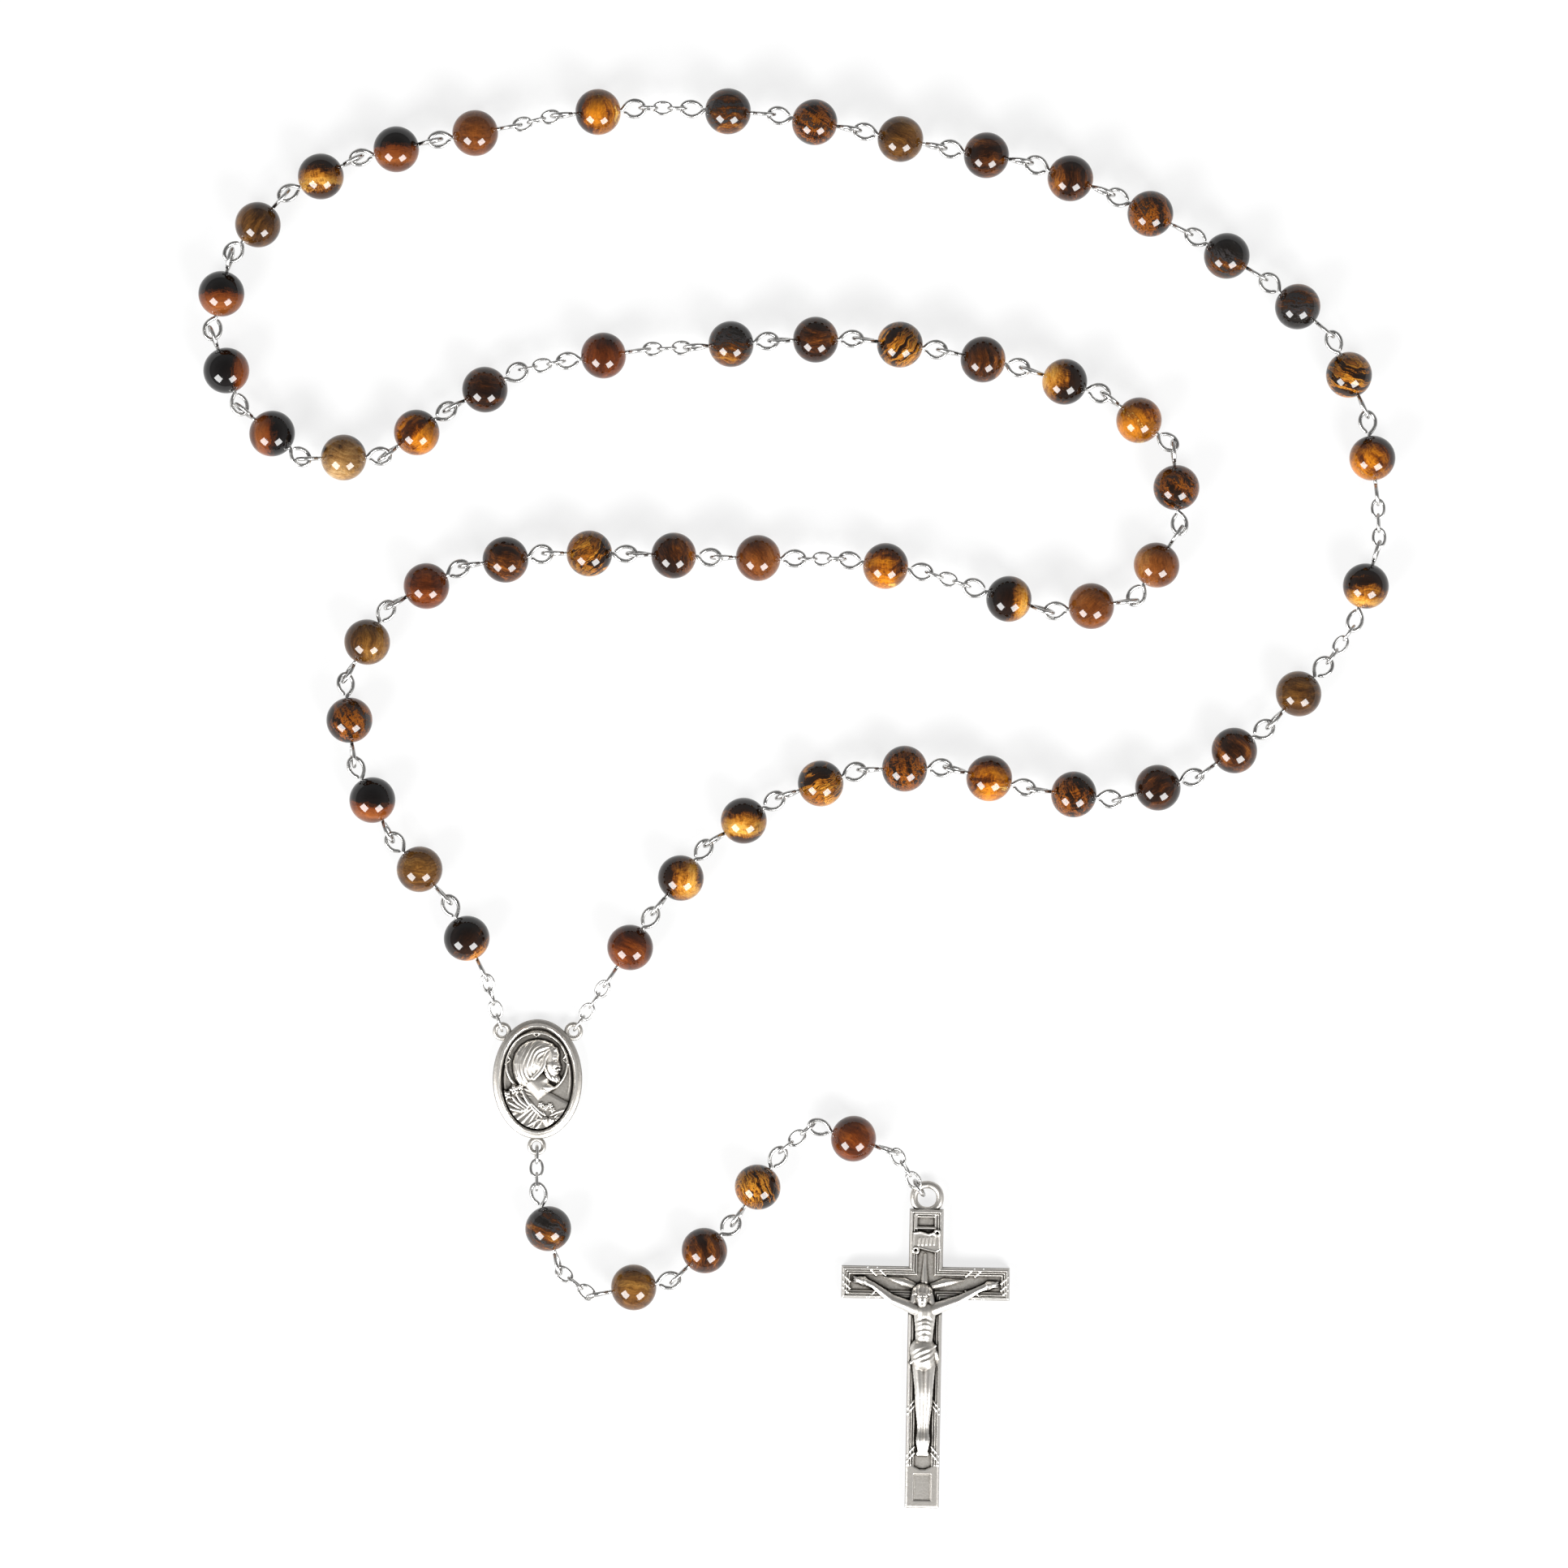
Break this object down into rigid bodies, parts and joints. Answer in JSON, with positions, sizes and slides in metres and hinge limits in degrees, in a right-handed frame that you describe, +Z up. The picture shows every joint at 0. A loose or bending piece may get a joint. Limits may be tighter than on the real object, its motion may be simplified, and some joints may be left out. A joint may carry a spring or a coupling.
{
  "type": "rosary",
  "caption": "Prayer beads on looped wire pins joined by short chains, with an oval centre medal and a hanging crucifix, laid out flat.",
  "frame": {"origin": "middle of the box around the laid-out rosary, on the surface it lies on", "axes": "+X to the side of the long S, +Y from the crucifix's foot towards the far end of the loop, +Z up from the table"},
  "size_m": [0.1552, 0.1844, 0.006],
  "materials": {
    "tiger_eye": "polished tiger's eye with golden bands",
    "silver_wire": "bright silver-coloured wire",
    "antiqued_pewter": "cast, antiqued with dark recesses"
  },
  "bodies": {
    "centre_medal": {"centre_medal": "antiqued_pewter"},
    "decade1_chain_first": {"decade1_chain_first": "silver_wire"},
    "decade1_beads_1_2": {"decade1_beads_1_2": "tiger_eye"},
    "decade1_beads_3_4": {"decade1_beads_3_4": "tiger_eye"},
    "decade1_beads_5_6": {"decade1_beads_5_6": "tiger_eye"},
    "decade1_beads_7_8": {"decade1_beads_7_8": "tiger_eye"},
    "decade1_beads_9_10": {"decade1_beads_9_10": "tiger_eye"},
    "decade1_chain_last": {"decade1_chain_last": "silver_wire"},
    "decade2_chain_first": {"decade2_chain_first": "silver_wire"},
    "decade2_beads_1_2": {"decade2_beads_1_2": "tiger_eye"},
    "decade2_beads_3_4": {"decade2_beads_3_4": "tiger_eye"},
    "decade2_beads_5_6": {"decade2_beads_5_6": "tiger_eye"},
    "decade2_beads_7_8": {"decade2_beads_7_8": "tiger_eye"},
    "decade2_beads_9_10": {"decade2_beads_9_10": "tiger_eye"},
    "decade2_chain_last": {"decade2_chain_last": "silver_wire"},
    "decade3_chain_first": {"decade3_chain_first": "silver_wire"},
    "decade3_beads_1_2": {"decade3_beads_1_2": "tiger_eye"},
    "decade3_beads_3_4": {"decade3_beads_3_4": "tiger_eye"},
    "decade3_beads_5_6": {"decade3_beads_5_6": "tiger_eye"},
    "decade3_beads_7_8": {"decade3_beads_7_8": "tiger_eye"},
    "decade3_beads_9_10": {"decade3_beads_9_10": "tiger_eye"},
    "decade3_chain_last": {"decade3_chain_last": "silver_wire"},
    "decade4_chain_first": {"decade4_chain_first": "silver_wire"},
    "decade4_beads_1_2": {"decade4_beads_1_2": "tiger_eye"},
    "decade4_beads_3_4": {"decade4_beads_3_4": "tiger_eye"},
    "decade4_beads_5_6": {"decade4_beads_5_6": "tiger_eye"},
    "decade4_beads_7_8": {"decade4_beads_7_8": "tiger_eye"},
    "decade4_beads_9_10": {"decade4_beads_9_10": "tiger_eye"},
    "decade4_chain_last": {"decade4_chain_last": "silver_wire"},
    "decade5_chain_first": {"decade5_chain_first": "silver_wire"},
    "decade5_beads_1_2": {"decade5_beads_1_2": "tiger_eye"},
    "decade5_beads_3_4": {"decade5_beads_3_4": "tiger_eye"},
    "decade5_beads_5_6": {"decade5_beads_5_6": "tiger_eye"},
    "decade5_beads_7_8": {"decade5_beads_7_8": "tiger_eye"},
    "decade5_beads_9_10": {"decade5_beads_9_10": "tiger_eye"},
    "decade5_chain_last": {"decade5_chain_last": "silver_wire"},
    "our_father_1_pin": {"our_father_1_pin": "silver_wire"},
    "our_father_1_bead": {"our_father_1_bead": "tiger_eye"},
    "our_father_2_pin": {"our_father_2_pin": "silver_wire"},
    "our_father_2_bead": {"our_father_2_bead": "tiger_eye"},
    "our_father_3_pin": {"our_father_3_pin": "silver_wire"},
    "our_father_3_bead": {"our_father_3_bead": "tiger_eye"},
    "our_father_4_pin": {"our_father_4_pin": "silver_wire"},
    "our_father_4_bead": {"our_father_4_bead": "tiger_eye"},
    "pendant_chain_1": {"pendant_chain_1": "silver_wire"},
    "pendant_1_pin": {"pendant_1_pin": "silver_wire"},
    "pendant_1_bead": {"pendant_1_bead": "tiger_eye"},
    "pendant_chain_2": {"pendant_chain_2": "silver_wire"},
    "pendant_2_pin": {"pendant_2_pin": "silver_wire"},
    "pendant_2_bead": {"pendant_2_bead": "tiger_eye"},
    "pendant_3_pin": {"pendant_3_pin": "silver_wire"},
    "pendant_3_bead": {"pendant_3_bead": "tiger_eye"},
    "pendant_4_pin": {"pendant_4_pin": "silver_wire"},
    "pendant_4_bead": {"pendant_4_bead": "tiger_eye"},
    "pendant_chain_3": {"pendant_chain_3": "silver_wire"},
    "pendant_5_pin": {"pendant_5_pin": "silver_wire"},
    "pendant_5_bead": {"pendant_5_bead": "tiger_eye"},
    "pendant_chain_4": {"pendant_chain_4": "silver_wire"},
    "crucifix_ring": {"crucifix_ring": "silver_wire"},
    "crucifix": {"crucifix": "antiqued_pewter"}
  },
  "joints": [
    {"name": "pendant_chain_1_lift", "type": "hinge", "parent": "centre_medal", "child": "pendant_chain_1", "pos_m": [-0.03381, -0.04602, 0.00095], "axis": [1, 0.0084, 0], "range_deg": [-30, 30]},
    {"name": "pendant_1_pin_swing", "type": "hinge", "parent": "pendant_chain_1", "child": "pendant_1_pin", "pos_m": [-0.03378, -0.05069, 0.00315], "axis": [-0.0033, 0.3977, 0.9175], "range_deg": [-20, 20]},
    {"name": "pendant_chain_2_lift", "type": "hinge", "parent": "pendant_1_pin", "child": "pendant_chain_2", "pos_m": [-0.0311, -0.06099, 0.003], "axis": [-0.6252, -0.7805, 0], "range_deg": [-60, 60]},
    {"name": "pendant_2_pin_swing", "type": "hinge", "parent": "pendant_chain_2", "child": "pendant_2_pin", "pos_m": [-0.02714, -0.06455, 0.003], "axis": [0, 0, -1], "range_deg": [-40, 40]},
    {"name": "pendant_3_pin_lift", "type": "hinge", "parent": "pendant_2_pin", "child": "pendant_3_pin", "pos_m": [-0.01526, -0.06225, 0.003], "axis": [-0.1895, 0.9819, 0], "range_deg": [-60, 60]},
    {"name": "pendant_4_pin_swing", "type": "hinge", "parent": "pendant_3_pin", "child": "pendant_4_pin", "pos_m": [-0.00849, -0.05541, 0.003], "axis": [0, 0, 1], "range_deg": [-40, 40]},
    {"name": "pendant_chain_3_lift", "type": "hinge", "parent": "pendant_4_pin", "child": "pendant_chain_3", "pos_m": [-0.00176, -0.04536, 0.003], "axis": [0.8309, -0.5564, 0], "range_deg": [-60, 60]},
    {"name": "pendant_5_pin_swing", "type": "hinge", "parent": "pendant_chain_3", "child": "pendant_5_pin", "pos_m": [0.00226, -0.04208, 0.003], "axis": [0, 0, -1], "range_deg": [-40, 40]},
    {"name": "pendant_chain_4_lift", "type": "hinge", "parent": "pendant_5_pin", "child": "pendant_chain_4", "pos_m": [0.01247, -0.04558, 0.00309], "axis": [0.8321, 0.5546, 0], "range_deg": [-60, 60]},
    {"name": "crucifix_ring_swing", "type": "hinge", "parent": "pendant_chain_4", "child": "crucifix_ring", "pos_m": [0.01531, -0.04987, 0.00216], "axis": [0.4084, -0.5128, 0.7551], "range_deg": [-40, 40]},
    {"name": "crucifix_lift", "type": "hinge", "parent": "crucifix_ring", "child": "crucifix", "pos_m": [0.01581, -0.05049, 0.001], "axis": [-0.7822, -0.623, 0], "range_deg": [-60, 60]},
    {"name": "decade1_chain_first_swing", "type": "hinge", "parent": "centre_medal", "child": "decade1_chain_first", "pos_m": [-0.02889, -0.03003, 0.00085], "axis": [-0.1604, -0.236, 0.9584], "range_deg": [-10, 10]},
    {"name": "decade1_beads_1_2_lift", "type": "hinge", "parent": "decade1_chain_first", "child": "decade1_beads_1_2", "pos_m": [-0.02467, -0.02382, 0.00309], "axis": [-0.827, 0.5622, 0], "range_deg": [-30, 30]},
    {"name": "decade1_beads_3_4_lift", "type": "hinge", "parent": "decade1_beads_1_2", "child": "decade1_beads_3_4", "pos_m": [-0.01132, -0.00556, 0.003], "axis": [0.783, -0.622, 0], "range_deg": [-60, 60]},
    {"name": "decade1_beads_5_6_lift", "type": "hinge", "parent": "decade1_beads_3_4", "child": "decade1_beads_5_6", "pos_m": [0.00879, 0.00389, 0.003], "axis": [-0.3186, 0.9479, 0], "range_deg": [-60, 60]},
    {"name": "decade1_beads_7_8_lift", "type": "hinge", "parent": "decade1_beads_5_6", "child": "decade1_beads_7_8", "pos_m": [0.03078, 0.00113, 0.003], "axis": [-0.2488, -0.9685, 0], "range_deg": [-60, 60]},
    {"name": "decade1_beads_9_10_lift", "type": "hinge", "parent": "decade1_beads_7_8", "child": "decade1_beads_9_10", "pos_m": [0.0526, 0.00313, 0.003], "axis": [-0.2817, 0.9595, 0], "range_deg": [-60, 60]},
    {"name": "decade1_chain_last_lift", "type": "hinge", "parent": "decade1_beads_9_10", "child": "decade1_chain_last", "pos_m": [0.06914, 0.01806, 0.003], "axis": [0.7367, -0.6763, 0], "range_deg": [-60, 60]},
    {"name": "our_father_1_pin_lift", "type": "hinge", "parent": "decade1_chain_last", "child": "our_father_1_pin", "pos_m": [0.07195, 0.02181, 0.003], "axis": [-0.9533, 0.302, 0], "range_deg": [-60, 60]},
    {"name": "decade2_chain_first_lift", "type": "hinge", "parent": "our_father_1_pin", "child": "decade2_chain_first", "pos_m": [0.07553, 0.03278, 0.003], "axis": [0.9995, 0.0327, 0], "range_deg": [-60, 60]},
    {"name": "decade2_beads_1_2_lift", "type": "hinge", "parent": "decade2_chain_first", "child": "decade2_beads_1_2", "pos_m": [0.07533, 0.03873, 0.003], "axis": [-0.9995, -0.0327, 0], "range_deg": [-60, 60]},
    {"name": "decade2_beads_3_4_lift", "type": "hinge", "parent": "decade2_beads_1_2", "child": "decade2_beads_3_4", "pos_m": [0.06912, 0.0605, 0.003], "axis": [0.9128, 0.4083, 0], "range_deg": [-60, 60]},
    {"name": "decade2_beads_5_6_lift", "type": "hinge", "parent": "decade2_beads_3_4", "child": "decade2_beads_5_6", "pos_m": [0.05055, 0.07352, 0.003], "axis": [-0.5148, -0.8573, 0], "range_deg": [-60, 60]},
    {"name": "decade2_beads_7_8_lift", "type": "hinge", "parent": "decade2_beads_5_6", "child": "decade2_beads_7_8", "pos_m": [0.02981, 0.08263, 0.003], "axis": [0.3588, 0.9334, 0], "range_deg": [-60, 60]},
    {"name": "decade2_beads_9_10_lift", "type": "hinge", "parent": "decade2_beads_7_8", "child": "decade2_beads_9_10", "pos_m": [0.00748, 0.08679, 0.003], "axis": [-0.2026, -0.9793, 0], "range_deg": [-60, 60]},
    {"name": "decade2_chain_last_lift", "type": "hinge", "parent": "decade2_beads_9_10", "child": "decade2_chain_last", "pos_m": [-0.015, 0.08956, 0.003], "axis": [0.0663, 0.9978, 0], "range_deg": [-60, 60]},
    {"name": "our_father_2_pin_lift", "type": "hinge", "parent": "decade2_chain_last", "child": "our_father_2_pin", "pos_m": [-0.01979, 0.08962, 0.003], "axis": [0.0891, -0.996, 0], "range_deg": [-60, 60]},
    {"name": "decade3_chain_first_lift", "type": "hinge", "parent": "our_father_2_pin", "child": "decade3_chain_first", "pos_m": [-0.03093, 0.0887, 0.003], "axis": [-0.2463, 0.9692, 0], "range_deg": [-60, 60]},
    {"name": "decade3_beads_1_2_lift", "type": "hinge", "parent": "decade3_chain_first", "child": "decade3_beads_1_2", "pos_m": [-0.03671, 0.08723, 0.003], "axis": [0.2463, -0.9692, 0], "range_deg": [-60, 60]},
    {"name": "decade3_beads_3_4_lift", "type": "hinge", "parent": "decade3_beads_1_2", "child": "decade3_beads_3_4", "pos_m": [-0.0579, 0.08289, 0.003], "axis": [-0.2227, 0.9749, 0], "range_deg": [-60, 60]},
    {"name": "decade3_beads_5_6_lift", "type": "hinge", "parent": "decade3_beads_3_4", "child": "decade3_beads_5_6", "pos_m": [-0.07398, 0.06994, 0.003], "axis": [0.7452, -0.6668, 0], "range_deg": [-60, 60]},
    {"name": "decade5_chain_last_swing", "type": "hinge", "parent": "centre_medal", "child": "decade5_chain_last", "pos_m": [-0.03838, -0.03011, 0.00083], "axis": [0.0798, -0.2789, 0.957], "range_deg": [-10, 10]},
    {"name": "decade5_beads_9_10_lift", "type": "hinge", "parent": "decade5_chain_last", "child": "decade5_beads_9_10", "pos_m": [-0.04044, -0.0229, 0.00311], "axis": [0.9614, 0.2751, 0], "range_deg": [-30, 30]},
    {"name": "decade5_beads_7_8_lift", "type": "hinge", "parent": "decade5_beads_9_10", "child": "decade5_beads_7_8", "pos_m": [-0.05305, -0.00469, 0.003], "axis": [-0.7382, -0.6746, 0], "range_deg": [-60, 60]},
    {"name": "decade5_beads_5_6_lift", "type": "hinge", "parent": "decade5_beads_7_8", "child": "decade5_beads_5_6", "pos_m": [-0.05869, 0.0162, 0.003], "axis": [0.9948, 0.1021, 0], "range_deg": [-60, 60]},
    {"name": "decade5_beads_3_4_lift", "type": "hinge", "parent": "decade5_beads_5_6", "child": "decade5_beads_3_4", "pos_m": [-0.04275, 0.03044, 0.003], "axis": [-0.4727, 0.8812, 0], "range_deg": [-60, 60]},
    {"name": "decade5_beads_1_2_lift", "type": "hinge", "parent": "decade5_beads_3_4", "child": "decade5_beads_1_2", "pos_m": [-0.0209, 0.03178, 0.003], "axis": [-0.0035, -1, 0], "range_deg": [-60, 60]},
    {"name": "decade5_chain_first_lift", "type": "hinge", "parent": "decade5_beads_1_2", "child": "decade5_chain_first", "pos_m": [0.00099, 0.03113, 0.003], "axis": [0.0141, 0.9999, 0], "range_deg": [-60, 60]},
    {"name": "our_father_4_pin_lift", "type": "hinge", "parent": "decade5_chain_first", "child": "our_father_4_pin", "pos_m": [0.00551, 0.03113, 0.003], "axis": [-0.1576, -0.9875, 0], "range_deg": [-60, 60]},
    {"name": "decade4_chain_last_lift", "type": "hinge", "parent": "our_father_4_pin", "child": "decade4_chain_last", "pos_m": [0.01745, 0.02923, 0.003], "axis": [0.1576, 0.9875, 0], "range_deg": [-60, 60]},
    {"name": "decade4_beads_9_10_lift", "type": "hinge", "parent": "decade4_chain_last", "child": "decade4_beads_9_10", "pos_m": [0.0217, 0.02772, 0.003], "axis": [-0.3005, -0.9538, 0], "range_deg": [-60, 60]},
    {"name": "decade4_beads_7_8_lift", "type": "hinge", "parent": "decade4_beads_9_10", "child": "decade4_beads_7_8", "pos_m": [0.0433, 0.02524, 0.003], "axis": [-0.8347, 0.5507, 0], "range_deg": [-60, 60]},
    {"name": "decade4_beads_5_6_lift", "type": "hinge", "parent": "decade4_beads_7_8", "child": "decade4_beads_5_6", "pos_m": [0.0492, 0.04547, 0.003], "axis": [0.5972, 0.8021, 0], "range_deg": [-60, 60]},
    {"name": "decade4_beads_3_4_lift", "type": "hinge", "parent": "decade4_beads_5_6", "child": "decade4_beads_3_4", "pos_m": [0.03003, 0.05567, 0.003], "axis": [-0.2138, -0.9769, 0], "range_deg": [-60, 60]},
    {"name": "decade4_beads_1_2_lift", "type": "hinge", "parent": "decade4_beads_3_4", "child": "decade4_beads_1_2", "pos_m": [0.00845, 0.05967, 0.003], "axis": [-0.0217, 0.9998, 0], "range_deg": [-60, 60]},
    {"name": "decade4_chain_first_lift", "type": "hinge", "parent": "decade4_beads_1_2", "child": "decade4_chain_first", "pos_m": [-0.0139, 0.05852, 0.003], "axis": [0.039, -0.9992, 0], "range_deg": [-60, 60]},
    {"name": "our_father_3_pin_lift", "type": "hinge", "parent": "decade4_chain_first", "child": "our_father_3_pin", "pos_m": [-0.01985, 0.05829, 0.003], "axis": [-0.039, 0.9992, 0], "range_deg": [-60, 60]},
    {"name": "decade3_chain_last_lift", "type": "hinge", "parent": "our_father_3_pin", "child": "decade3_chain_last", "pos_m": [-0.03111, 0.05661, 0.003], "axis": [0.1444, -0.9895, 0], "range_deg": [-60, 60]},
    {"name": "decade3_beads_9_10_lift", "type": "hinge", "parent": "decade3_chain_last", "child": "decade3_beads_9_10", "pos_m": [-0.03517, 0.05593, 0.003], "axis": [-0.4754, 0.8798, 0], "range_deg": [-60, 60]},
    {"name": "decade3_beads_7_8_lift", "type": "hinge", "parent": "decade3_beads_9_10", "child": "decade3_beads_7_8", "pos_m": [-0.05278, 0.04446, 0.003], "axis": [0.0358, -0.9994, 0], "range_deg": [-60, 60]},
    {"name": "our_father_1_bead_spin", "type": "hinge", "parent": "our_father_1_pin", "child": "our_father_1_bead", "pos_m": [0.07378, 0.02758, 0.003], "axis": [0.302, 0.9533, 0], "continuous": true},
    {"name": "our_father_2_bead_spin", "type": "hinge", "parent": "our_father_2_pin", "child": "our_father_2_bead", "pos_m": [-0.02582, 0.08908, 0.003], "axis": [-0.996, -0.0891, 0], "continuous": true},
    {"name": "our_father_3_bead_spin", "type": "hinge", "parent": "our_father_3_pin", "child": "our_father_3_bead", "pos_m": [-0.02512, 0.05748, 0.003], "axis": [0.9895, 0.1444, 0], "continuous": true},
    {"name": "our_father_4_bead_spin", "type": "hinge", "parent": "our_father_4_pin", "child": "our_father_4_bead", "pos_m": [0.01148, 0.03018, 0.003], "axis": [-0.9875, 0.1576, 0], "continuous": true},
    {"name": "pendant_1_bead_spin", "type": "hinge", "parent": "pendant_1_pin", "child": "pendant_1_bead", "pos_m": [-0.03228, -0.05578, 0.003], "axis": [0.2647, -0.9643, 0], "continuous": true},
    {"name": "pendant_2_bead_spin", "type": "hinge", "parent": "pendant_2_pin", "child": "pendant_2_bead", "pos_m": [-0.0212, -0.0634, 0.003], "axis": [0.9819, 0.1895, 0], "continuous": true},
    {"name": "pendant_3_bead_spin", "type": "hinge", "parent": "pendant_3_pin", "child": "pendant_3_bead", "pos_m": [-0.01201, -0.05863, 0.003], "axis": [0.7191, 0.6949, 0], "continuous": true},
    {"name": "pendant_4_bead_spin", "type": "hinge", "parent": "pendant_4_pin", "child": "pendant_4_bead", "pos_m": [-0.00512, -0.05039, 0.003], "axis": [0.5564, 0.8309, 0], "continuous": true},
    {"name": "pendant_5_bead_spin", "type": "hinge", "parent": "pendant_5_pin", "child": "pendant_5_bead", "pos_m": [0.00732, -0.04412, 0.003], "axis": [0.949, -0.3154, 0], "continuous": true}
  ]
}
